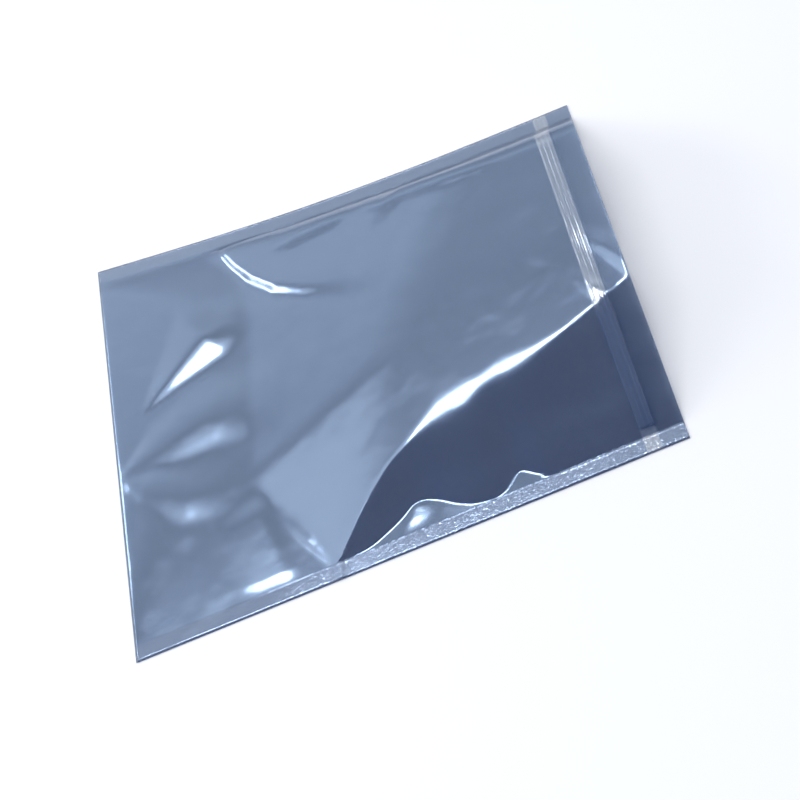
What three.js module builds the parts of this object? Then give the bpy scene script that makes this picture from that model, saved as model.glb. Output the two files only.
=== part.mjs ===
import * as THREE from 'three';
import { mergeVertices } from 'three/addons/utils/BufferGeometryUtils.js';

// A reclosable static shielding bag that lies on its back film, puffed up towards its open mouth.
// Millimetres, +Z up. The row frame has its origin under the middle of the bag: +X runs from the
// bottom fold to the mouth, and +Y from the near side seal to the far one.
// The functions below count `along` from the bottom fold and `across` from the centre line.

// The flat bag
const bagLength = 200;
const bagWidth = 170;
const mouthWidth = 146; // the sides draw in as the front film arches up
const farBow = 4; // how far the far side bends in at half length
const filmThickness = 0.1;
const sealWidth = 6;

// The press-in zip
const zipInset = 9; // from the mouth to the zip's nearer edge
const trackWidth = 5;
const trackBase = 0.25;
const ribHeight = 1.05;
const ribNeck = 0.5;
const ribHead = 1;
const grooveDepth = 0.95;
const grooveWidth = 1.1;
const jawWidth = 0.5;
const bondGap = 0.1; // the weld between a track and its film, left open
const trackEndInset = 3; // from the side seal's inner line to the track's end
const crushLength = 9; // the seal bar flattens this much of each track's end
const crushedShare = 0.25;

// The form of the front film: slopes are rises for each millimetre along or across
const pillowHeight = 5.5; // the low pillow that fills the fold end
const pillowFoldSlope = 0.14;
const pillowNearSlope = 0.055;
const pillowFarSlope = 0.24;
const foldBead = 0.5; // how far the film stands up right at the bottom fold
const foldBeadLength = 1.5;
const liftStart = 66; // the film starts to rise towards the mouth here
const liftSlope = 0.25;
const topAlong = 109; // a point of the top facet, and the facet's slopes
const topAcross = -50;
const topHeight = 13.3;
const topSlopeAlong = 0.118;
const topSlopeAcross = 0.1;
const tipAlong = 78; // the main crease, the petal facet and the band beside it all start at this point
const tipAcross = -77;
const petalSlopeAlong = 0.2;
const petalSlopeAcross = 0.166;
const bandSlopeAlong = 0.5;
const footSlope = 0.04;
const farSlope = 1.1;
const pillowRounding = 4;
const topRounding = 1.5;
const creaseRounding = 0.8;
const farRounding = 5;

// The back film lies flat and ripples a little where the sides draw in
const rippleHeight = 1.5;
const ripplePitch = 46;
const rippleStart = 120;
const rippleMargin = 20;

// The lines and folds below are drawn on a bag 200 long, and grow with the bag
const drawingScale = bagLength / 200;

function drawn(points) {
  return points.map((point) => point.map((length) => length * drawingScale));
}

// The main crease, from its tip at the near seal to the mouth: [along, across]
const mainCrease = drawn([
  [78, -79.5], [81, -72.5], [91, -62], [100, -55], [109, -50], [128, -45], [152, -40.5], [173, -34], [200, -25],
]);

// Between the near seal and the steep facet the film lies almost flat: [along, width of that foot]
const foot = drawn([
  [78, 0], [90, 1.5], [100, 5], [109, 9.5], [116, 8], [124, 4], [138, 4], [145, 7], [154, 4], [172, 1.5],
  [182, 0], [200, 0],
]);

// How round the main crease is: [along, rounding]
const mainCreaseRounding = drawn([
  [78, 0.2], [108, 0.3], [116, 1.5], [130, 4], [150, 4], [165, 2], [176, 0.3], [200, 0.2],
]);

// Folds that stand up from the front film. A fold is a ridge along a path, with a nearly plane flank
// on each side: [along, across, height, half width to the right, half width to the left]
const folds = {
  drop: drawn([[18, 10, 0, 0.5, 2], [49, 30.5, 3.3, 10.5, 16], [58, 37, 1.2, 12, 18], [68, 42, 0, 12, 20]]),
  farBow: drawn([
    [59, 74, 0.6, 2, 9], [60, 64, 1.1, 3, 16], [70, 47, 1.8, 4, 18], [92, 28, 1.3, 5, 18], [124, 18, 0, 8, 18],
  ]),
  upperFan: drawn([[0, -13, 0, 1, 1], [20, -9, 1.1, 7, 9], [43, -6, 1.7, 10, 14], [74, -11, 0, 11, 14]]),
  lowerFan: drawn([[0, -13, 0, 1, 1], [12, -22, 0.8, 6, 7], [28, -32, 1.1, 8, 10], [50, -35, 0, 9, 10]]),
  nearFacet: drawn([[47, -86, 0, 3, 1], [52, -68, 0.8, 4, 12], [57, -52, 1.3, 6, 19], [60, -43, 0, 6, 20]]),
  farTuck: drawn([[118, 40, 0, 4, 4], [135, 47, 1.2, 5, 4], [152, 42, 1.2, 5, 4], [172, 38, 0, 4, 4]]),
};
const ridgeRounding = 0.4; // as a share of a flank's width
const flankRounding = 0.25;
const foldFade = 5; // folds die out this close to a seal or the bottom fold

const gridPitch = 6;
const zipEnd = bagLength - zipInset;
const zipStart = zipEnd - trackWidth;

// The two long edges of the bag, and the inner lines of their seals
function nearEdge(along) {
  return -THREE.MathUtils.lerp(bagWidth, mouthWidth, along / bagLength) / 2;
}

function farEdge(along) {
  return -nearEdge(along) - farBow * Math.sin((Math.PI * along) / bagLength);
}

function nearSeam(along) {
  return nearEdge(along) + sealWidth;
}

function farSeam(along) {
  return farEdge(along) - sealWidth;
}

// The smaller of two heights, with the corner between them rounded
function softMin(a, b, rounding) {
  const blend = Math.max(rounding - Math.abs(a - b), 0) / rounding;
  return Math.min(a, b) - (blend * blend * rounding) / 4;
}

function softMax(a, b, rounding) {
  return -softMin(-a, -b, rounding);
}

function fadeIn(distance, length) {
  return THREE.MathUtils.smoothstep(distance, 0, length);
}

// How far a point of the pouch lies inside its two seals and its bottom fold
function insets(along, across) {
  return { near: across - nearSeam(along), far: farSeam(along) - across, fold: along };
}

// The value that a line of [along, value] points has at this distance along the bag
function valueAlong(along, line) {
  const next = line.findIndex((point) => point[0] > along);
  if (next < 1) {
    return next < 0 ? line.at(-1)[1] : line[0][1];
  }
  const [[start, startValue], [end, endValue]] = [line[next - 1], line[next]];
  return THREE.MathUtils.mapLinear(along, start, end, startValue, endValue);
}

// Height that one fold adds: a rounded ridge along its path, falling away evenly on both sides
function foldHeight(along, across, points) {
  let nearest = Infinity;
  let height = 0;
  for (let i = 1; i < points.length; i += 1) {
    const [startAlong, startAcross, ...startShape] = points[i - 1];
    const [endAlong, endAcross, ...endShape] = points[i];
    const runAlong = endAlong - startAlong;
    const runAcross = endAcross - startAcross;
    const reach = (along - startAlong) * runAlong + (across - startAcross) * runAcross;
    const share = THREE.MathUtils.clamp(reach / (runAlong ** 2 + runAcross ** 2), 0, 1);
    const gapAlong = along - startAlong - share * runAlong;
    const gapAcross = across - startAcross - share * runAcross;
    const distance = Math.hypot(gapAlong, gapAcross);
    if (distance < nearest) {
      nearest = distance;
      const [peak, right, left] = startShape.map((start, k) => THREE.MathUtils.lerp(start, endShape[k], share));
      const width = runAlong * gapAcross > runAcross * gapAlong ? left : right;
      const flank = 1 - Math.hypot(distance / width, ridgeRounding) + ridgeRounding / 2;
      height = peak * softMax(flank, 0, flankRounding);
    }
  }
  return height;
}

function allFolds(along, across) {
  const inset = insets(along, across);
  const fade = fadeIn(Math.min(inset.near, inset.far, inset.fold), foldFade);
  return Object.values(folds).reduce((sum, points) => sum + fade * foldHeight(along, across, points), 0);
}

// A low pillow fills the fold end, and nearly plane facets rise from it to the mouth
function raisedForm(along, across) {
  const inset = insets(along, across);
  const bead = foldBead * (1 - Math.exp(-inset.fold / foldBeadLength));
  const sides = Math.min(pillowNearSlope * inset.near, pillowFarSlope * inset.far);
  const rise = softMin(sides, pillowFoldSlope * inset.fold + bead, creaseRounding);
  const pillow = softMin(rise, pillowHeight, pillowRounding);
  const lift = pillowHeight + liftSlope * (along - liftStart);
  const top = topHeight + topSlopeAlong * (along - topAlong) + topSlopeAcross * (across - topAcross);
  const petal = petalSlopeAlong * (along - tipAlong) + petalSlopeAcross * (across - tipAcross);
  const band = bandSlopeAlong * (along - tipAlong);
  const fromTip = softMax(petal, band, creaseRounding);
  const tent = softMin(softMin(lift, fromTip, creaseRounding), top, topRounding);
  return softMax(pillow, tent, creaseRounding);
}

// The flat foot beside the near seal, and the steep facet from there up to the main crease
function nearSide(along, across) {
  const near = across - nearSeam(along);
  const creaseAcross = valueAlong(along, mainCrease);
  const creaseInset = creaseAcross - nearSeam(along);
  const footWidth = valueAlong(along, foot);
  const rise = raisedForm(along, creaseAcross) - footSlope * creaseInset;
  const steepness = rise / Math.max(creaseInset - footWidth, filmThickness);
  return footSlope * near + steepness * Math.max(near - footWidth, 0);
}

// Height of the pouch between the two films
function pouchHeight(along, across) {
  const inset = insets(along, across);
  const raised = raisedForm(along, across);
  const creased = softMin(raised, nearSide(along, across), valueAlong(along, mainCreaseRounding));
  const form = softMin(along < tipAlong ? raised : creased, farSlope * inset.far, farRounding);
  const edge = Math.min(inset.near, inset.far, inset.fold);
  return Math.max(form, footSlope * edge) + allFolds(along, across);
}

function rippleOfBack(along, across) {
  const inset = insets(along, across);
  const wave = (1 - Math.cos((2 * Math.PI * across) / ripplePitch)) / 2;
  const margin = fadeIn(Math.min(inset.near, inset.far), rippleMargin);
  return rippleHeight * wave * margin * fadeIn(along - rippleStart, bagLength - rippleStart);
}

// The four faces of the film, as heights above the surface that the bag lies on
const backOutside = (along, across) => rippleOfBack(along, across);
const backInside = (along, across) => rippleOfBack(along, across) + filmThickness;
const frontInside = (along, across) => filmThickness + pouchHeight(along, across);
const frontOutside = (along, across) => 2 * filmThickness + pouchHeight(along, across);

// Lines of the grid: the marks are kept, and each stretch between them is cut evenly
function gridLines(marks, pitch) {
  const lines = [marks[0]];
  for (let i = 1; i < marks.length; i += 1) {
    const stretch = marks[i] - marks[i - 1];
    const cells = Math.max(1, Math.round(stretch / pitch));
    for (let k = 1; k <= cells; k += 1) {
      lines.push(marks[i - 1] + (stretch * k) / cells);
    }
  }
  return lines;
}

const alongLines = gridLines([0, zipStart, zipEnd, bagLength], gridPitch);
const cellsAcross = Math.round((bagWidth - 2 * sealWidth) / gridPitch);
const acrossShares = Array.from({ length: cellsAcross + 1 }, (_, j) => j / cellsAcross);

function pouchAcross(along, share) {
  return THREE.MathUtils.lerp(nearSeam(along), farSeam(along), share);
}

function place(along, across, height) {
  return new THREE.Vector3(along - bagLength / 2, across, height);
}

// Collects triangles, and joins them into one closed geometry with shared corners
class Skin {
  constructor() {
    this.positions = [];
  }

  triangle(a, b, c) {
    for (const corner of [a, b, c]) {
      this.positions.push(corner.x, corner.y, corner.z);
    }
  }

  // A sheet through rows of points. It faces along (next row) x (next point), or the other way
  sheet(rows, flipped = false) {
    for (let i = 1; i < rows.length; i += 1) {
      for (let j = 1; j < rows[i].length; j += 1) {
        const [a, b, c, d] = [rows[i - 1][j - 1], rows[i][j - 1], rows[i][j], rows[i - 1][j]];
        if (flipped) {
          this.triangle(a, c, b);
          this.triangle(a, d, c);
        } else {
          this.triangle(a, b, c);
          this.triangle(a, c, d);
        }
      }
    }
  }

  fan(points, flipped = false) {
    for (let k = 2; k < points.length; k += 1) {
      const [b, c] = flipped ? [points[k], points[k - 1]] : [points[k - 1], points[k]];
      this.triangle(points[0], b, c);
    }
  }

  geometry() {
    const soup = new THREE.BufferGeometry();
    soup.setAttribute('position', new THREE.Float32BufferAttribute(this.positions, 3));
    const closed = mergeVertices(soup, 1e-4);
    closed.computeVertexNormals();
    return closed;
  }
}

// Points of one face of the film inside the seals
function pouchRows(face, lines) {
  return lines.map((along) => acrossShares.map((share) => {
    const across = pouchAcross(along, share);
    return place(along, across, face(along, across));
  }));
}

// The same, with the outer edges of the two side seals added
function fullRows(face, lines) {
  return pouchRows(face, lines).map((row, i) => {
    const along = lines[i];
    const near = place(along, nearEdge(along), face(along, nearSeam(along)));
    const far = place(along, farEdge(along), face(along, farSeam(along)));
    return [near, ...row, far];
  });
}

function firsts(rows) {
  return rows.map((row) => row[0]);
}

function lasts(rows) {
  return rows.map((row) => row[row.length - 1]);
}

// One web of film: folded at the bottom, heat-sealed along both sides, open at the mouth
function bagFilmGeometry() {
  const insideLines = [filmThickness, ...alongLines.slice(1)];
  const frontOut = fullRows(frontOutside, alongLines);
  const backOut = fullRows(backOutside, alongLines);
  const frontIn = pouchRows(frontInside, insideLines);
  const backIn = pouchRows(backInside, insideLines);
  for (const [i, row] of backIn.entries()) {
    frontIn[i][0] = row[0];
    frontIn[i][row.length - 1] = row[row.length - 1];
  }
  frontIn[0] = backIn[0];

  const skin = new Skin();
  skin.sheet(frontOut);
  skin.sheet(backOut, true);
  skin.sheet(frontIn, true);
  skin.sheet(backIn);
  skin.sheet([firsts(backOut), firsts(frontOut)], true);
  skin.sheet([lasts(backOut), lasts(frontOut)]);
  skin.sheet([backOut[0], frontOut[0]]);

  // The rim at the mouth: the ends of the two films, then of the two seals
  const [frontEdge, backEdge] = [frontOut.at(-1), backOut.at(-1)];
  const [frontLip, backLip] = [frontIn.at(-1), backIn.at(-1)];
  skin.sheet([backEdge.slice(1, -1), backLip], true);
  skin.sheet([frontLip, frontEdge.slice(1, -1)], true);
  skin.fan([backEdge[0], backEdge[1], backLip[0], frontEdge[1], frontEdge[0]]);
  const last = backEdge.length - 1;
  const farEnd = [backEdge[last], backEdge[last - 1], backLip.at(-1), frontEdge[last - 1], frontEdge[last]];
  skin.fan(farEnd, true);
  return skin.geometry();
}

// Height of a face where the film's own facets put it, on one line of the grid
function facetHeight(face, along, across) {
  const reach = THREE.MathUtils.inverseLerp(nearSeam(along), farSeam(along), across);
  const cell = Math.min(Math.floor(reach * cellsAcross), cellsAcross - 1);
  const start = pouchAcross(along, acrossShares[cell]);
  const end = pouchAcross(along, acrossShares[cell + 1]);
  const share = (across - start) / (end - start);
  return THREE.MathUtils.lerp(face(along, start), face(along, end), share);
}

// A track is one profile that follows its film from seal to seal. Profile points are [from the
// edge nearer the fold, depth below the bonded face], and side is 1 on the back film, -1 on the front
function trackGeometry(profile, face, side) {
  const [start, stop] = [nearSeam(zipEnd) + trackEndInset, farSeam(zipEnd) - trackEndInset];
  const inner = acrossShares.map((share) => pouchAcross(zipEnd, share));
  const stations = [start, ...inner.filter((across) => across > start + 1 && across < stop - 1), stop];
  const rows = stations.map((across) => {
    const fromEnd = Math.min(across - start, stop - across);
    const crush = THREE.MathUtils.lerp(crushedShare, 1, fadeIn(fromEnd, crushLength));
    const startHeight = facetHeight(face, zipStart, across);
    const endHeight = facetHeight(face, zipEnd, across);
    const ring = profile.map(([offset, depth]) => {
      const film = THREE.MathUtils.lerp(startHeight, endHeight, offset / trackWidth);
      const raised = Math.min(depth, trackBase) + Math.max(depth - trackBase, 0) * crush;
      return place(zipStart + offset, across, film + side * (bondGap + raised));
    });
    return [...ring, ring[0]];
  });
  const skin = new Skin();
  skin.sheet(rows, side < 0);
  capTrack(skin, rows[0].slice(0, -1));
  capTrack(skin, rows.at(-1).slice(0, -1), true);
  return skin.geometry();
}

// Closes one end of a track. The cap faces the near seal, or the far one if it is flipped
function capTrack(skin, ring, flipped = false) {
  const flat = ring.map((point) => new THREE.Vector2(point.x, point.z));
  for (const [a, b, c] of THREE.ShapeUtils.triangulateShape(flat, [])) {
    skin.fan([ring[a], ring[b], ring[c]], flipped);
  }
}

// A rib with a head wider than its neck, on a flat base
function ribProfile() {
  const middle = trackWidth / 2;
  const shoulder = trackBase + ribHeight * 0.45;
  const temple = trackBase + ribHeight * 0.7;
  return [
    [0, 0],
    [trackWidth, 0],
    [trackWidth, trackBase],
    [middle + ribNeck / 2, trackBase],
    [middle + ribNeck / 2, shoulder],
    [middle + ribHead / 2, temple],
    [middle, trackBase + ribHeight],
    [middle - ribHead / 2, temple],
    [middle - ribNeck / 2, shoulder],
    [middle - ribNeck / 2, trackBase],
    [0, trackBase],
  ];
}

// Two jaws on a flat base, a groove's width apart
function grooveProfile() {
  const middle = trackWidth / 2;
  const innerJaw = grooveWidth / 2;
  const outerJaw = innerJaw + jawWidth;
  const tip = trackBase + grooveDepth;
  return [
    [0, 0],
    [trackWidth, 0],
    [trackWidth, trackBase],
    [middle + outerJaw, trackBase],
    [middle + outerJaw, tip],
    [middle + innerJaw, tip],
    [middle + innerJaw, trackBase],
    [middle - innerJaw, trackBase],
    [middle - innerJaw, tip],
    [middle - outerJaw, tip],
    [middle - outerJaw, trackBase],
    [0, trackBase],
  ];
}

function subPart(name, geometry, material) {
  const mesh = new THREE.Mesh(geometry, material);
  mesh.name = name;
  return mesh;
}

const metallisedFilm = new THREE.MeshStandardMaterial({
  color: 0x8fa3c4,
  roughness: 0.15,
  metalness: 0.8,
  transparent: true,
  opacity: 0.65,
  side: THREE.DoubleSide,
});
const clearTrack = new THREE.MeshStandardMaterial({
  color: 0xc9d3e2,
  roughness: 0.25,
  metalness: 0,
  transparent: true,
  opacity: 0.6,
});

const bag = new THREE.Group();
bag.add(subPart('bag_film', bagFilmGeometry(), metallisedFilm));
bag.add(subPart('zip_rib_track', trackGeometry(ribProfile(), frontInside, -1), clearTrack));
bag.add(subPart('zip_groove_track', trackGeometry(grooveProfile(), backInside, 1), clearTrack));

export default bag;
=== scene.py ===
# %% [markdown]
# # A reclosable static shielding bag
# This bag is made of one web of metallised film. The web is folded at the bottom, heat-sealed along
# both sides, and closed at the mouth by a press-in zip. Here it lies on its back film with the mouth
# open and the front film raised, as a bag does that has held something thick.
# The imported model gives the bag's place and size. Everything below is drawn in the same frame.

# %% Load the frame
import math

import bpy
import numpy as np
from mathutils import Matrix, Vector


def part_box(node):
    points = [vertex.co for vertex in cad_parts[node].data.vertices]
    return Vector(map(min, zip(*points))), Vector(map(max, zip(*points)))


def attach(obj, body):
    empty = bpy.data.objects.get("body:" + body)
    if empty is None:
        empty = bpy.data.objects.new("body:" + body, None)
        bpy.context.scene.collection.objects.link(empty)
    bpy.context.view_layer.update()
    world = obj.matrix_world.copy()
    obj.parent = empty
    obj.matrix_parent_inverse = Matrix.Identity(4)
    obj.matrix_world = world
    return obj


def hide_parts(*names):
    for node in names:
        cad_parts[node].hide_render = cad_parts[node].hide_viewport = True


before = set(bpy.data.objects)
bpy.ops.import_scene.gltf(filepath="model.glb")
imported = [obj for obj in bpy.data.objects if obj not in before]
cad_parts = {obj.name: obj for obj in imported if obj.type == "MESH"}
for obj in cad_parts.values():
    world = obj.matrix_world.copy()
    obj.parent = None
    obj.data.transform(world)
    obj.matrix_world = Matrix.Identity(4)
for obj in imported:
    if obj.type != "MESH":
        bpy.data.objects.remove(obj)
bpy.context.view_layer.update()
print("nodes", sorted(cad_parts))

# %% [markdown]
# ## Units and colour
# Sizes are written in millimetres, as a bag maker would quote them, and turned into metres once, when
# a mesh is made. Colours are written as hex, the way a picture editor shows them. Blender's shaders
# work on linear light, so one function does the turning.

# %% Helpers for units and colour
MM = 0.001
MM_IN_A_METRE = 1000


def linear(hex_colour):
    """The linear colour that Blender wants, from sRGB hex, fully opaque."""
    channels = [int(hex_colour[i : i + 2], 16) / 255 for i in (1, 3, 5)]
    light = [c / 12.92 if c <= 0.04045 else ((c + 0.055) / 1.055) ** 2.4 for c in channels]
    return (*light, 1.0)


print("mid grey in linear light", [round(c, 3) for c in linear("#808080")])

# %% [markdown]
# ## Nodes
# A material is a small network of nodes. One helper adds a node, gives it its settings, and fills its
# inputs, either with a value or with a link from another node.

# %% Helper for nodes


def add_node(tree, kind, settings=None, inputs=None):
    """Adds a node. An input takes a value, or the output socket of another node."""
    node = tree.nodes.new(kind)
    for name, value in (settings or {}).items():
        setattr(node, name, value)
    for name, value in (inputs or {}).items():
        if isinstance(value, bpy.types.NodeSocket):
            tree.links.new(value, node.inputs[name])
        else:
            node.inputs[name].default_value = value
    return node


# %% [markdown]
# ## The bag's driving sizes
# They are the maker's sizes of the flat bag and of its zip. The length, the width and the zip's place
# are read off the frame, so the drawing can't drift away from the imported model.

# %% Driving sizes, in millimetres
film_low, film_high = (np.array(corner) * MM_IN_A_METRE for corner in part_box("bag_film"))
zip_low, zip_high = (np.array(corner) * MM_IN_A_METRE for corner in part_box("zip_rib_track"))
BAG_LENGTH = float(film_high[0] - film_low[0])
BAG_WIDTH = float(film_high[1] - film_low[1])
ZIP_START = float(zip_low[0]) + BAG_LENGTH / 2
ZIP_END = float(zip_high[0]) + BAG_LENGTH / 2
ZIP_MIDDLE = (ZIP_START + ZIP_END) / 2
MOUTH_WIDTH = 146.0
FAR_BOW = 4.0
FILM = 0.1
SEAL = 6.0
TRACK_WIDTH = 5.0
print(f"bag {BAG_LENGTH:.1f} x {BAG_WIDTH:.1f} mm, zip from {ZIP_START:.1f} to {ZIP_END:.1f} mm")

# %% [markdown]
# ## The outline
# Places on the bag are given by two numbers. The first is the distance along it, from the bottom fold
# to the mouth. The second is the distance across it from the middle, below 0 on the near side. The
# raised front film pulls the sides in, so the bag is narrower at the mouth, and its far side bows.

# %% Edges and seams


def near_edge(along):
    return -(BAG_WIDTH + (MOUTH_WIDTH - BAG_WIDTH) * along / BAG_LENGTH) / 2


def far_edge(along):
    return -near_edge(along) - FAR_BOW * np.sin(np.pi * along / BAG_LENGTH)


def near_seam(along):
    return near_edge(along) + SEAL


def far_seam(along):
    return far_edge(along) - SEAL


def insets(along, across):
    """Distances from the near seam, from the far seam and from the bottom fold."""
    return across - near_seam(along), far_seam(along) - across, along


def edge_inset(along, across):
    near, far, fold = insets(along, across)
    return np.minimum(np.minimum(near, far), fold)


print(f"the mouth is {far_edge(BAG_LENGTH) - near_edge(BAG_LENGTH):.1f} mm wide")

# %% [markdown]
# ## Planes and creases
# A film can't stretch, so it bends into nearly plane facets that meet in creases. The form is built
# the same way: each facet is a plane, the smaller or larger of two planes is taken, and the corner
# between them is rounded a little. That gives long straight creases where a real film has them,
# which no amount of noise would.

# %% Helpers for the form


def soft_min(a, b, rounding):
    """The smaller of two heights, with the corner between them rounded."""
    blend = np.maximum(rounding - np.abs(a - b), 0) / rounding
    return np.minimum(a, b) - blend * blend * rounding / 4


def soft_max(a, b, rounding):
    return -soft_min(-a, -b, rounding)


def fade_in(distance, length):
    """Rises smoothly from 0 to 1 over a length."""
    t = np.clip(distance / length, 0, 1)
    return t * t * (3 - 2 * t)


def plane(along, across, point, slopes):
    """Height of a plane through a point (along, across, height), with its two slopes."""
    return point[2] + slopes[0] * (along - point[0]) + slopes[1] * (across - point[1])


def smooth_line(points, steps=8):
    """A smooth curve through points, as a finer line of points."""
    points = np.array(points, float)
    padded = np.concatenate([2 * points[:1] - points[1:2], points, 2 * points[-1:] - points[-2:-1]])
    t = np.linspace(0, 1, steps, endpoint=False)[:, None]
    pieces = []
    for a, b, c, d in zip(padded, padded[1:], padded[2:], padded[3:]):
        bend = (2 * a - 5 * b + 4 * c - d) + t * (3 * b - a - 3 * c + d)
        pieces.append(b + t * ((c - a) + t * bend) / 2)
    return np.concatenate([*pieces, points[-1:]])


def value_along(along, line):
    """The value that a line of (along, value) points has at this distance along the bag."""
    return np.interp(along, line[:, 0], line[:, 1])


print("planes that meet 2 mm high, rounded by 1 mm, meet", soft_min(2.0, 2.0, 1.0), "mm high")

# %% [markdown]
# ## The raised film
# The fold end is a low pillow. From there three planes rise to the mouth: the lift, a small facet that
# fans out from the tip of the main crease like a petal, and the top.

# %% The pillow and the planes above it
PILLOW_HEIGHT = 5.5
PILLOW_NEAR_SLOPE = 0.055
PILLOW_FAR_SLOPE = 0.24
PILLOW_FOLD_SLOPE = 0.14
PILLOW_FOLD_ROUNDING = 1.2
PILLOW_ROUNDING = 4
# The film leaves the bottom fold steeply, as a small bead
FOLD_BEAD = 0.25
FOLD_BEAD_LENGTH = 1.5
LIFT_START = 66
LIFT_SLOPE = 0.25
LIFT_ROUNDING = 0.8
TOP_POINT = (109, -50, 13.3)
TOP_SLOPES = (0.118, 0.1)
TOP_ROUNDING = 1.5
PETAL_TIP = (78, -77, 0)
PETAL_SLOPES = (0.2, 0.166)
TIP_BAND_SLOPES = (0.3, 0.1)
TIP_ROUNDING = 1
RAISED_ROUNDING = 0.6


def pillow_form(along, across):
    near, far, fold = insets(along, across)
    bead = FOLD_BEAD * (1 - np.exp(-np.maximum(fold, 0) / FOLD_BEAD_LENGTH))
    sides = np.minimum(PILLOW_NEAR_SLOPE * near, PILLOW_FAR_SLOPE * far)
    pillow = soft_min(sides, PILLOW_FOLD_SLOPE * fold + bead, PILLOW_FOLD_ROUNDING)
    return soft_min(pillow, PILLOW_HEIGHT, PILLOW_ROUNDING)


def raised_form(along, across):
    top = plane(along, across, TOP_POINT, TOP_SLOPES)
    lift = PILLOW_HEIGHT + LIFT_SLOPE * (along - LIFT_START)
    petal = plane(along, across, PETAL_TIP, PETAL_SLOPES)
    tip_band = plane(along, across, PETAL_TIP, TIP_BAND_SLOPES)
    from_tip = soft_max(petal, tip_band, TIP_ROUNDING)
    rising = soft_min(soft_min(lift, from_tip, LIFT_ROUNDING), top, TOP_ROUNDING)
    return soft_max(pillow_form(along, across), rising, RAISED_ROUNDING)


mouth_height = float(raised_form(np.array(BAG_LENGTH), np.array(0.0)))
print(f"middle of the mouth without folds {mouth_height:.1f} mm high")

# %% [markdown]
# ## The main crease
# The main crease runs from its tip at the near seal to the mouth. Above it the film faces the sky, and
# below it a steep facet drops to the near seal. Just before the seal the film lies almost flat again.
# The width of that flat foot changes along the bag, which gives it two lobes.

# %% The main crease, the steep near side and the foot
# Along, across
MAIN_CREASE = smooth_line([
    (78, -79.5), (81, -72.5), (91, -62), (100, -55), (109, -50), (128, -44.5), (152, -39.5), (173, -34),
    (200, -25),
])
# Along, width of the flat foot
FOOT = smooth_line([
    (78, 0), (90, 1), (100, 5), (109, 9.5), (116, 8), (124, 3), (132, 0.5), (138, 1), (145, 6), (152, 2),
    (158, 0), (200, 0),
])
# Along, how round the crease is
CREASE_ROUNDING = np.array([
    (78, 0.2), (108, 0.3), (116, 2), (128, 4.5), (150, 4.5), (163, 2), (176, 0.3), (200, 0.2),
])
CREASE_START = PETAL_TIP[0] + 1
FOOT_SLOPE = 0.04
LEAST_STEEP_RUN = 0.5
FAR_SLOPE = 1.1
FAR_ROUNDING = 5


def near_side(along, across):
    """The steep facet under the main crease, and the flat foot between it and the near seal."""
    crease_across = value_along(along, MAIN_CREASE)
    crease_inset = crease_across - near_seam(along)
    foot = value_along(along, FOOT)
    rise = raised_form(along, crease_across) - FOOT_SLOPE * crease_inset
    steepness = rise / np.maximum(crease_inset - foot, LEAST_STEEP_RUN)
    near = across - near_seam(along)
    return FOOT_SLOPE * near + steepness * np.maximum(near - foot, 0)


def main_form(along, across):
    far = far_seam(along) - across
    raised = raised_form(along, across)
    creased = soft_min(raised, near_side(along, across), value_along(along, CREASE_ROUNDING))
    form = np.where(along < CREASE_START, raised, creased)
    lowest = FOOT_SLOPE * edge_inset(along, across)
    return np.maximum(soft_min(form, FAR_SLOPE * far, FAR_ROUNDING), lowest)


crease_length = np.hypot(*np.diff(MAIN_CREASE, axis=0).T).sum()
print(f"main crease {crease_length:.0f} mm long, seen from above")

# %% [markdown]
# ## Folds and wrinkles
# The folds that catch the light are drawn one by one, each along its own path. A fold has a height and
# two half widths, to the right and the left of its path, and all three change along it. A film folds
# into cones more often than into even ridges, so many of these start at a point and widen.

# %% Folds along paths
FOLD_FADE = 5
FOLD_FOOT_ROUNDING = 0.25
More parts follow.
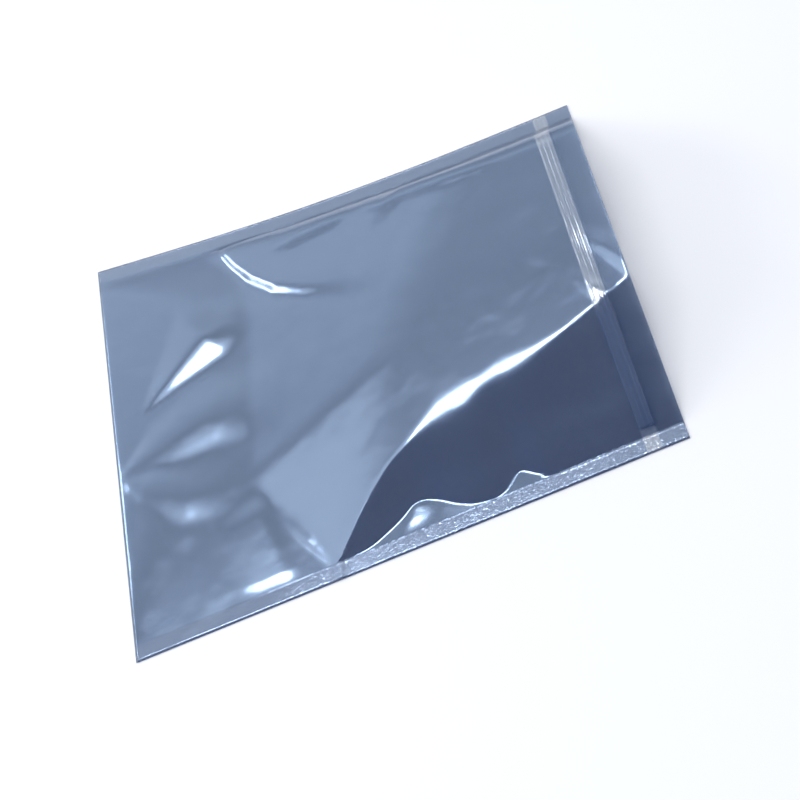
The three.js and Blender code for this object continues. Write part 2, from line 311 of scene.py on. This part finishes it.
# Each has the rounding of its ridge, then along, across, height, half width to the right and to the left
FOLDS = {
    "drop": (0.3, [
        (14, 9, 0, 0.5, 2), (45, 29.5, 3.3, 10.5, 16), (54, 36, 1.2, 12, 18), (64, 41, 0, 12, 20),
    ]),
    "far_bow": (0.5, [
        (57, 75, 0.6, 2, 9), (58, 66, 1.1, 2.4, 16), (62, 58, 1.5, 3, 18), (68, 49, 1.8, 3.2, 18),
        (78, 38, 1.8, 3.2, 18), (90, 30, 1.3, 3.5, 18), (106, 23, 0.5, 5, 18), (124, 18, 0, 8, 18),
    ]),
    "far_arc": (0.5, [(76, 56, 0, 3, 6), (87, 53, 1.2, 3.5, 8), (105, 51, 0.9, 3.5, 8), (114, 52, 0, 3, 6)]),
    "far_hook": (0.5, [(115, 54, 0, 2.5, 6), (123, 47, 1, 3, 6), (132, 42, 0, 3, 6)]),
    "upper_fan": (0.6, [
        (0, -13, 0, 1, 1), (20, -7.5, 1.2, 8, 9), (43, -4, 1.9, 11, 14), (74, -9, 0, 11, 14),
    ]),
    "lower_fan": (0.6, [(0, -13, 0, 1, 1), (12, -22, 0.8, 6, 7), (28, -32, 1.1, 8, 10), (50, -35, 0, 9, 10)]),
    "near_facet": (0.5, [
        (37, -51, 0, 22, 5), (45, -50, 0.8, 28, 6), (54, -48, 1.1, 32, 6), (59, -47, 0, 32, 6),
    ]),
    "tip_crease": (0.3, [(60, -48, 0, 2, 4), (69, -63, 0.35, 1.5, 3), (77, -76, 0, 1, 2)]),
    "tent": (0.3, [
        (109, -58, 0, 1.5, 5), (108, -64, 0.6, 1.4, 6), (105, -69, 0.3, 1.4, 6), (102, -76, 0, 1.5, 4),
    ]),
    "seam_tuck": (0.3, [(127, -63, 0, 1.5, 4), (127, -68, 0.5, 1.5, 4), (127, -75, 0, 1.5, 3)]),
    "mouth_curl": (0.4, [(188, -2, 0, 2, 4), (195, -11, 1.1, 2.5, 5), (203, -24, 1.6, 3, 6)]),
    "zip_tuck": (0.4, [(182, -14, 0, 2, 3), (188, -24, 1.0, 2.5, 3), (196, -33, 0, 2, 3)]),
    "far_dark": (0.4, [(118, 40, 0, 4, 4), (135, 47, 1.2, 5, 4), (152, 42, 1.2, 5, 4), (172, 38, 0, 4, 4)]),
}


def path_fold(along, across, path, rounding):
    """Height that one fold adds: two nearly plane flanks, rounded at the ridge and the feet."""
    nearest = np.full(np.shape(along), np.inf)
    height = np.zeros(np.shape(along))
    for (a0, b0, *start), (a1, b1, *end) in zip(path, path[1:]):
        run = np.array([a1 - a0, b1 - b0], float)
        share = np.clip(((along - a0) * run[0] + (across - b0) * run[1]) / (run @ run), 0, 1)
        gap_along = along - a0 - share * run[0]
        gap_across = across - b0 - share * run[1]
        distance = np.hypot(gap_along, gap_across)
        on_left = run[0] * gap_across - run[1] * gap_along > 0
        peak, right_width, left_width = (s + (e - s) * share for s, e in zip(start, end))
        reach = distance / np.where(on_left, left_width, right_width)
        flank = 1 - np.sqrt(reach * reach + rounding * rounding) + rounding / 2
        shape = soft_max(flank, 0, FOLD_FOOT_ROUNDING)
        closer = distance < nearest
        height = np.where(closer, peak * shape, height)
        nearest = np.where(closer, distance, nearest)
    return height


def fold_height(along, across):
    total = np.zeros(np.shape(along))
    for rounding, path in FOLDS.values():
        total = total + path_fold(along, across, path, rounding)
    return total * fade_in(edge_inset(along, across), FOLD_FADE)


def pouch_height(along, across):
    return main_form(along, across) + fold_height(along, across)


print(len(FOLDS), "folds, the highest", max(point[2] for _, path in FOLDS.values() for point in path), "mm")

# %% [markdown]
# ## The back film
# The back film lies on the table. Towards the mouth, where the sides draw in, it has more width than
# room, so it ripples a little.

# %% The ripple
RIPPLE_HEIGHT = 1.5
RIPPLE_PITCH = 46
RIPPLE_MARGIN = 20
RIPPLE_START = 120


def ripple(along, across):
    near, far, _ = insets(along, across)
    wave = (1 - np.cos(2 * np.pi * across / RIPPLE_PITCH)) / 2
    inside = fade_in(np.minimum(near, far), RIPPLE_MARGIN)
    return RIPPLE_HEIGHT * wave * inside * fade_in(along - RIPPLE_START, BAG_LENGTH - RIPPLE_START)


# %% [markdown]
# ## The side seals
# A hot bar with a fine knurl presses the two films together. It leaves a grain in the seal. In some
# places the bar pressed harder, and there the seal is creased and sparkles.

# %% The grain of the seals
KNURL_DEPTH = 0.015
PRESSED_DEPTH = 0.14
PRESSED_LENGTH = 7.0
PRESSED_ALONG = np.array([61, 102, 120, 131, 158, 176, 192])
# A sine this long and steep gives numbers that look random and are the same in every run
GRAIN_ALONG = 12.9898
GRAIN_ACROSS = 78.233
GRAIN_STEEPNESS = 43758.5453


def seal_knurl(along, across):
    """Height that the grain adds in the seals, and 0 elsewhere."""
    in_seal = np.maximum(near_seam(along) - across, across - far_seam(along)) > 0
    pressed = np.exp(-(((along[..., None] - PRESSED_ALONG) / PRESSED_LENGTH) ** 2)).max(axis=-1)
    grain = np.sin(along * GRAIN_ALONG + across * GRAIN_ACROSS) * GRAIN_STEEPNESS
    depth = KNURL_DEPTH + (PRESSED_DEPTH - KNURL_DEPTH) * pressed
    return np.where(in_seal, (grain - np.floor(grain)) * depth, 0)


print(f"grain up to {PRESSED_DEPTH} mm deep at {len(PRESSED_ALONG)} places")

# %% [markdown]
# ## The grid of the web
# The web is one sheet: from the mouth down the back, round the bottom fold and up the front to the
# mouth again. A grid of rows and columns follows it. It has more rows on the front film, where the
# folds are, a column on each seam, and its finest columns beside the near seal, where the foot turns
# up sharply.

# %% Rows and columns
BACK_CELLS = 91
FRONT_CELLS = 183
SEAL_CELLS = 5
FOOT_CELLS = 36
POUCH_CELLS = 106
FINE_MARGIN = 14.0


def stretch(start, end, cells):
    """Even steps from start towards end, without the end itself."""
    return np.linspace(start, end, cells + 1)[:-1]


def web_rows():
    """Distance along the web: below 0 on the back film, and above 0 on the front film."""
    return np.concatenate([
        stretch(-BAG_LENGTH, 0, BACK_CELLS),
        stretch(0, BAG_LENGTH, FRONT_CELLS),
        [BAG_LENGTH],
    ])


def web_columns(along):
    """Across from the near edge to the far edge."""
    fine_end = near_seam(along) + FINE_MARGIN
    return np.concatenate([
        stretch(near_edge(along), near_seam(along), SEAL_CELLS),
        stretch(near_seam(along), fine_end, FOOT_CELLS),
        stretch(fine_end, far_seam(along), POUCH_CELLS),
        stretch(far_seam(along), far_edge(along), SEAL_CELLS),
        [far_edge(along)],
    ])


print(len(web_rows()), "rows and", len(web_columns(0.0)), "columns")

# %% [markdown]
# ## The web of film
# Each row is placed at its height. The same points also get a place on the flat web, as a UV map, so
# that the pattern of the seals and of the zip follows the film wherever it goes.

# %% Build the web
WELD_GAP = 0.04


def web_height(place, across):
    """Height of the middle of the film: on the back, at the bottom fold, or on the front."""
    along = abs(place)
    run = np.full(across.shape, along)
    inside = np.clip(across, near_seam(along), far_seam(along))
    if place < 0:
        return FILM / 2 + ripple(run, inside)
    if place == 0:
        return np.full(across.shape, FILM)
    # The front film lies on the back film, with a gap between them in the seals
    return 1.5 * FILM + WELD_GAP + pouch_height(run, inside) + seal_knurl(run, across)


def flat_places(place, across):
    """Where the points of a row lie on the flat web: across it and along it."""
    along = abs(place)
    edges = [near_edge(along), near_seam(along), far_seam(along), far_edge(along)]
    flat_edges = [-BAG_WIDTH / 2, -BAG_WIDTH / 2 + SEAL, BAG_WIDTH / 2 - SEAL, BAG_WIDTH / 2]
    return np.stack([np.interp(across, edges, flat_edges), np.full(across.shape, place)], axis=1)


def grid_faces(row_count, column_count):
    return [
        (corner, corner + column_count, corner + column_count + 1, corner + 1)
        for row in range(row_count - 1)
        for corner in range(row * column_count, (row + 1) * column_count - 1)
    ]


def build_web():
    points = []
    flat = []
    rows = web_rows()
    for place in rows:
        across = web_columns(abs(place))
        run = np.full(across.shape, abs(place) - BAG_LENGTH / 2)
        points.append(np.stack([run, across, web_height(place, across)], axis=1))
        flat.append(flat_places(place, across))
    corners = np.concatenate(points) * MM
    web_map = np.concatenate(flat) * MM
    mesh = bpy.data.meshes.new("bag_web")
    mesh.from_pydata(corners.tolist(), [], grid_faces(len(rows), len(points[0])))
    layer = mesh.uv_layers.new(name="flat_web")
    loops = np.zeros(len(mesh.loops), np.int32)
    mesh.loops.foreach_get("vertex_index", loops)
    layer.data.foreach_set("uv", web_map[loops].astype(np.float32).ravel())
    mesh.polygons.foreach_set("use_smooth", np.ones(len(mesh.polygons), bool))
    web = bpy.data.objects.new("bag_web", mesh)
    bpy.context.collection.objects.link(web)
    return web


web = build_web()
print("the web has", len(web.data.polygons), "faces")

# %% [markdown]
# ## Thickness
# Solidify gives the web its real thickness, so that it has two faces and a cut edge like the real
# film. The result is then made a plain mesh.

# %% Thicken the web


def finished(source, name):
    """A plain mesh of an object with its modifiers in it."""
    graph = bpy.context.evaluated_depsgraph_get()
    mesh = bpy.data.meshes.new_from_object(source.evaluated_get(graph), depsgraph=graph)
    mesh.name = name
    piece = bpy.data.objects.new(name, mesh)
    bpy.context.collection.objects.link(piece)
    bpy.data.objects.remove(source)
    return piece


wall = web.modifiers.new("wall", "SOLIDIFY")
wall.thickness = FILM * MM
wall.offset = 0
film = finished(web, "film")
print("film triangles", sum(len(p.vertices) - 2 for p in film.data.polygons))

# %% [markdown]
# ## Where the finish changes
# The film is shiny all over, except where it is sealed and where the zip is welded to it. Both places
# are bands of the flat web, so two masks are made from the UV map: one for the seals and one for the
# zip. A mask is 1 in its band and 0 outside it, with a narrow blend at the edge.

# %% Masks on the flat web
SEAL_BLEND = (-0.2, 0.4)
ZIP_BLEND = (0.2, -0.1)


def web_masks(tree):
    """Sockets for the place on the flat web, the distance from its fold and from the zip, and the masks."""
    flat_web = add_node(tree, "ShaderNodeUVMap", {"uv_map": "flat_web"}).outputs["UV"]
    place = add_node(tree, "ShaderNodeSeparateXYZ", inputs={"Vector": flat_web})
    across = place.outputs["X"]
    along = place.outputs["Y"]
    from_fold = add_node(tree, "ShaderNodeMath", {"operation": "ABSOLUTE"}, {0: along}).outputs[0]
    from_middle = add_node(tree, "ShaderNodeMath", {"operation": "ABSOLUTE"}, {0: across}).outputs[0]
    seam = BAG_WIDTH / 2 - SEAL
    in_seal = add_node(tree, "ShaderNodeMapRange", inputs={
        "Value": from_middle,
        "From Min": (seam + SEAL_BLEND[0]) * MM,
        "From Max": (seam + SEAL_BLEND[1]) * MM,
    }).outputs["Result"]
    past_zip = add_node(tree, "ShaderNodeMath", {"operation": "SUBTRACT"}, {
        0: from_fold, 1: ZIP_MIDDLE * MM,
    }).outputs[0]
    from_zip = add_node(tree, "ShaderNodeMath", {"operation": "ABSOLUTE"}, {0: past_zip}).outputs[0]
    on_zip = add_node(tree, "ShaderNodeMapRange", inputs={
        "Value": from_zip,
        "From Min": (TRACK_WIDTH / 2 + ZIP_BLEND[0]) * MM,
        "From Max": (TRACK_WIDTH / 2 + ZIP_BLEND[1]) * MM,
    }).outputs["Result"]
    return flat_web, from_fold, from_zip, in_seal, on_zip


# %% [markdown]
# ## Colour of the film
# The film is polyester with a very thin layer of aluminium: a bluish grey mirror. The seals are painted
# paler, as a painted sheen for the light that their grain spreads. The zip behind the film looks paler too.

# %% Colour
FILM_COLOUR = "#92A8C6"
# Paler than the film: a painted sheen for the light that the grain of the seals spreads
SEAL_SHEEN_COLOUR = "#A3B5D0"
ZIP_COLOUR = "#C9D3E2"


def film_colour(tree, in_seal, on_zip):
    # In the seals the film gets the painted sheen colour
    sealed = add_node(tree, "ShaderNodeMix", {"data_type": "RGBA"}, {
        "Factor": in_seal,
        "A": linear(FILM_COLOUR),
        "B": linear(SEAL_SHEEN_COLOUR),
    }).outputs["Result"]
    return add_node(tree, "ShaderNodeMix", {"data_type": "RGBA"}, {
        "Factor": on_zip,
        "A": sealed,
        "B": linear(ZIP_COLOUR),
    }).outputs["Result"]


# %% [markdown]
# ## Relief of the film
# Three things bend the reflections but hardly change the form: the knurl of the seals, the ridges that
# the zip presses through the film, and a faint waviness that all thin film has. Each is a bump, and
# each bump starts from the normal of the one before it.

# %% Relief
# A grain of the knurl is 1.4 mm wide. A real one is about half of that, and wouldn't show
KNURL_PER_METRE = 700
KNURL_BUMP = 0.3
FIRM_START = 40
FIRM_FULL = 75
ZIP_LINES = 3
ZIP_BUMP = 0.12
# A wave of the film is about 22 mm long
WAVES_PER_METRE = 45
WAVE_BUMP = 0.8
NOISE_DETAIL = 2


def film_relief(tree, flat_web, from_fold, from_zip, in_seal, on_zip):
    """The knurl grows with the distance from the fold, where the bar pressed more firmly."""
    noise = {"Vector": flat_web, "Scale": KNURL_PER_METRE, "Detail": NOISE_DETAIL}
    knurl = add_node(tree, "ShaderNodeTexNoise", inputs=noise).outputs[0]
    firmness = add_node(tree, "ShaderNodeMapRange", inputs={
        "Value": from_fold,
        "From Min": FIRM_START * MM,
        "From Max": FIRM_FULL * MM,
        "To Max": in_seal,
    }).outputs["Result"]
    grain = add_node(tree, "ShaderNodeMath", {"operation": "MULTIPLY"}, {0: knurl, 1: firmness}).outputs[0]
    grained = add_node(tree, "ShaderNodeBump", inputs={
        "Height": grain, "Strength": 1.0, "Distance": KNURL_BUMP * MM,
    }).outputs["Normal"]

    turns = 2 * math.pi * ZIP_LINES / (TRACK_WIDTH * MM)
    phase = add_node(tree, "ShaderNodeMath", {"operation": "MULTIPLY"}, {0: from_zip, 1: turns}).outputs[0]
    lines = add_node(tree, "ShaderNodeMath", {"operation": "COSINE"}, {0: phase}).outputs[0]
    ridges = add_node(tree, "ShaderNodeMath", {"operation": "MULTIPLY"}, {0: lines, 1: on_zip}).outputs[0]
    ridged = add_node(tree, "ShaderNodeBump", inputs={
        "Height": ridges, "Normal": grained, "Strength": 1.0, "Distance": ZIP_BUMP * MM,
    }).outputs["Normal"]

    noise = {"Vector": flat_web, "Scale": WAVES_PER_METRE, "Detail": NOISE_DETAIL}
    waves = add_node(tree, "ShaderNodeTexNoise", inputs=noise).outputs[0]
    return add_node(tree, "ShaderNodeBump", inputs={
        "Height": waves, "Normal": ridged, "Strength": 1.0, "Distance": WAVE_BUMP * MM,
    }).outputs["Normal"]


# %% [markdown]
# ## Metallised film
# The layer of aluminium is so thin that it lets part of the light through. So the film is a mirror
# with a plain constant alpha: a cold picture of the room lies over a dim view of what is behind it.
# It is not perfectly smooth, which softens the highlights a little.

# %% The film's material
FILM_METALLIC = 0.96
FILM_ALPHA = 0.35
FILM_ROUGHNESS = 0.16
SEAL_ROUGHNESS = 0.2


def film_material():
    material = bpy.data.materials.new("metallised_polyester_film")
    material.use_nodes = True
    tree = material.node_tree
    tree.nodes.clear()
    flat_web, from_fold, from_zip, in_seal, on_zip = web_masks(tree)
    roughness = add_node(tree, "ShaderNodeMapRange", inputs={
        "Value": in_seal, "To Min": FILM_ROUGHNESS, "To Max": SEAL_ROUGHNESS,
    }).outputs["Result"]
    shader = add_node(tree, "ShaderNodeBsdfPrincipled", inputs={
        "Base Color": film_colour(tree, in_seal, on_zip),
        "Metallic": FILM_METALLIC,
        "Roughness": roughness,
        "Alpha": FILM_ALPHA,
        "Normal": film_relief(tree, flat_web, from_fold, from_zip, in_seal, on_zip),
    })
    add_node(tree, "ShaderNodeOutputMaterial", inputs={"Surface": shader.outputs["BSDF"]})
    return material


film.data.materials.clear()
film.data.materials.append(film_material())
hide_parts("bag_film")
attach(film, "root")
print("film material nodes", len(film.data.materials[0].node_tree.nodes))

# %% [markdown]
# ## The zip tracks
# The two strips of the zip are plain extruded polyethylene, clear and slightly milky. They already
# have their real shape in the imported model, so that is kept and only gets its material. What shows of
# them from outside is the band with ridges that the film's material has.

# %% The zip's material
ZIP_NODES = ("zip_rib_track", "zip_groove_track")
POLYETHYLENE_COLOUR = "#B9C6DA"
POLYETHYLENE_ROUGHNESS = 0.2
POLYETHYLENE_ALPHA = 0.35


def clear_polyethylene():
    material = bpy.data.materials.new("clear_polyethylene")
    material.use_nodes = True
    shader = material.node_tree.nodes["Principled BSDF"]
    shader.inputs["Base Color"].default_value = linear(POLYETHYLENE_COLOUR)
    shader.inputs["Roughness"].default_value = POLYETHYLENE_ROUGHNESS
    shader.inputs["Alpha"].default_value = POLYETHYLENE_ALPHA
    return material


for node_name in ZIP_NODES:
    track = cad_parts[node_name]
    material = clear_polyethylene()
    for material_slot in track.material_slots:
        material_slot.material = material
    print(node_name, "is", material.name)

# %% [markdown]
# ## Floor
# The bag lies on white paper. The floor is one large face just under it, without any shine, so that
# it fills the picture with plain white and holds only the bag's soft shadow.

# %% Floor
FLOOR_REACH = 4.0
FLOOR_LEVEL = -0.2 * MM
PAPER_COLOUR = "#FDFDFD"

floor_mesh = bpy.data.meshes.new("floor")
floor_sides = ((-1, -1), (1, -1), (1, 1), (-1, 1))
floor_corners = [(x * FLOOR_REACH, y * FLOOR_REACH, FLOOR_LEVEL) for x, y in floor_sides]
floor_mesh.from_pydata(floor_corners, [], [(0, 1, 2, 3)])
floor = bpy.data.objects.new("floor", floor_mesh)
bpy.context.collection.objects.link(floor)
paper = bpy.data.materials.new("white_paper")
paper.use_nodes = True
paper_shader = paper.node_tree.nodes["Principled BSDF"]
paper_shader.inputs["Base Color"].default_value = linear(PAPER_COLOUR)
paper_shader.inputs["Roughness"].default_value = 1.0
paper_shader.inputs["Specular IOR Level"].default_value = 0.0
floor_mesh.materials.append(paper)
print("floor", 2 * FLOOR_REACH, "m wide")

# %% [markdown]
# ## Lamps
# A mirror shows its lamps, so their shape and place matter more than their power. A long lamp
# overhead draws the streak on the main crease and the bright lines on the folds. A long thin one on
# the left is there for the faces that look towards the bottom fold.

# %% Lamps, in metres and watts


def soft_lamp(name, place, aim, long_axis, size, power):
    """A rectangular lamp at a place, facing its aim, with its first side along long_axis."""
    light = bpy.data.lights.new(name, "AREA")
    light.shape = "RECTANGLE"
    light.size, light.size_y = size
    light.energy = power
    lamp = bpy.data.objects.new(name, light)
    back = (Vector(place) - Vector(aim)).normalized()
    side = Vector(long_axis)
    side = (side - side.dot(back) * back).normalized()
    facing = Matrix((side, back.cross(side), back)).transposed().to_4x4()
    lamp.matrix_world = Matrix.Translation(place) @ facing
    bpy.context.collection.objects.link(lamp)
    print(name, "lamp", power, "W")


soft_lamp(
    "overhead", place=(-0.3, 0.05, 1.3), aim=(-0.3, 0.05, 0), long_axis=(1, 0, 0), size=(0.7, 0.3), power=7,
)
soft_lamp(
    "left", place=(-1.25, 0.4, 0.75), aim=(0, 0, 0), long_axis=(0, 1.15, -0.46), size=(1.25, 0.16), power=6,
)

# %% [markdown]
# ## The room
# Between the highlights the film shows the room. It is drawn as a screen of bands: dark blue on the
# near side, then white, then greys of different depth towards the far side. The steep facet sees the
# dark band, the small facets see the white one, and the rest of the film sees the greys. The room is
# a little brighter on the left.

# %% Room
# From the near side, at 0, to the far side, at 1
ROOM_BANDS = [
    (0.30, "#0A305E"),
    (0.42, "#103866"),
    (0.51, "#FFFFFF"),
    (0.575, "#FFFFFF"),
    (0.635, "#F4F4F6"),
    (0.665, "#898F99"),
    (0.76, "#BEC2C8"),
    (0.82, "#E0E2E5"),
    (1.0, "#A8ACB4"),
]
LEFT_AND_RIGHT = (-0.75, 0.1)
LEFT_AND_RIGHT_STRENGTH = (1.78, 1.28)


def fill_bands(ramp, bands):
    """A new colour ramp has two stops. They become the first and the last band."""
    stops = ramp.elements
    for stop, (place, colour) in zip(stops, (bands[0], bands[-1])):
        stop.position = place
        stop.color = linear(colour)
    for place, colour in bands[1:-1]:
        stops.new(place).color = linear(colour)


def room_world():
    world = bpy.data.worlds.new("studio")
    world.use_nodes = True
    tree = world.node_tree
    tree.nodes.clear()
    direction = add_node(tree, "ShaderNodeTexCoord").outputs["Generated"]
    split = add_node(tree, "ShaderNodeSeparateXYZ", inputs={"Vector": direction})
    place = add_node(tree, "ShaderNodeMapRange", inputs={
        "Value": split.outputs["Y"], "From Min": -1, "From Max": 1,
    }).outputs["Result"]
    ramp = add_node(tree, "ShaderNodeValToRGB", inputs={"Fac": place})
    fill_bands(ramp.color_ramp, ROOM_BANDS)
    strength = add_node(tree, "ShaderNodeMapRange", inputs={
        "Value": split.outputs["X"],
        "From Min": LEFT_AND_RIGHT[0],
        "From Max": LEFT_AND_RIGHT[1],
        "To Min": LEFT_AND_RIGHT_STRENGTH[0],
        "To Max": LEFT_AND_RIGHT_STRENGTH[1],
    }).outputs["Result"]
    light = add_node(tree, "ShaderNodeBackground", inputs={
        "Color": ramp.outputs["Color"], "Strength": strength,
    })
    add_node(tree, "ShaderNodeOutputWorld", inputs={"Surface": light.outputs["Background"]})
    return world


bpy.context.scene.world = room_world()
print("room of", len(ROOM_BANDS), "bands")

# %% [markdown]
# ## Camera
# The camera looks down on the bag from the near side, turned so that the bag lies at a slant in the
# picture. Its place, lens and roll were fitted to the four corners of the bag.

# %% Camera
CAMERA_PLACE = Vector((99.5, -249.3, 371.4)) * MM
CAMERA_AIM = Vector((11.4, -22.7, 0)) * MM
CAMERA_ROLL = math.radians(-38.3)
LENS = 57.2
SENSOR = 36

camera_data = bpy.data.cameras.new("camera")
camera_data.lens = LENS
camera_data.sensor_width = SENSOR
camera = bpy.data.objects.new("camera", camera_data)
view = (CAMERA_AIM - CAMERA_PLACE).normalized()
turn = view.to_track_quat("-Z", "Y").to_matrix().to_4x4()
camera.matrix_world = Matrix.Translation(CAMERA_PLACE) @ turn @ Matrix.Rotation(CAMERA_ROLL, 4, "Z")
bpy.context.collection.objects.link(camera)
bpy.context.scene.camera = camera
bpy.context.scene.view_settings.view_transform = "Standard"
print(f"camera {(CAMERA_AIM - CAMERA_PLACE).length:.2f} m from its aim")
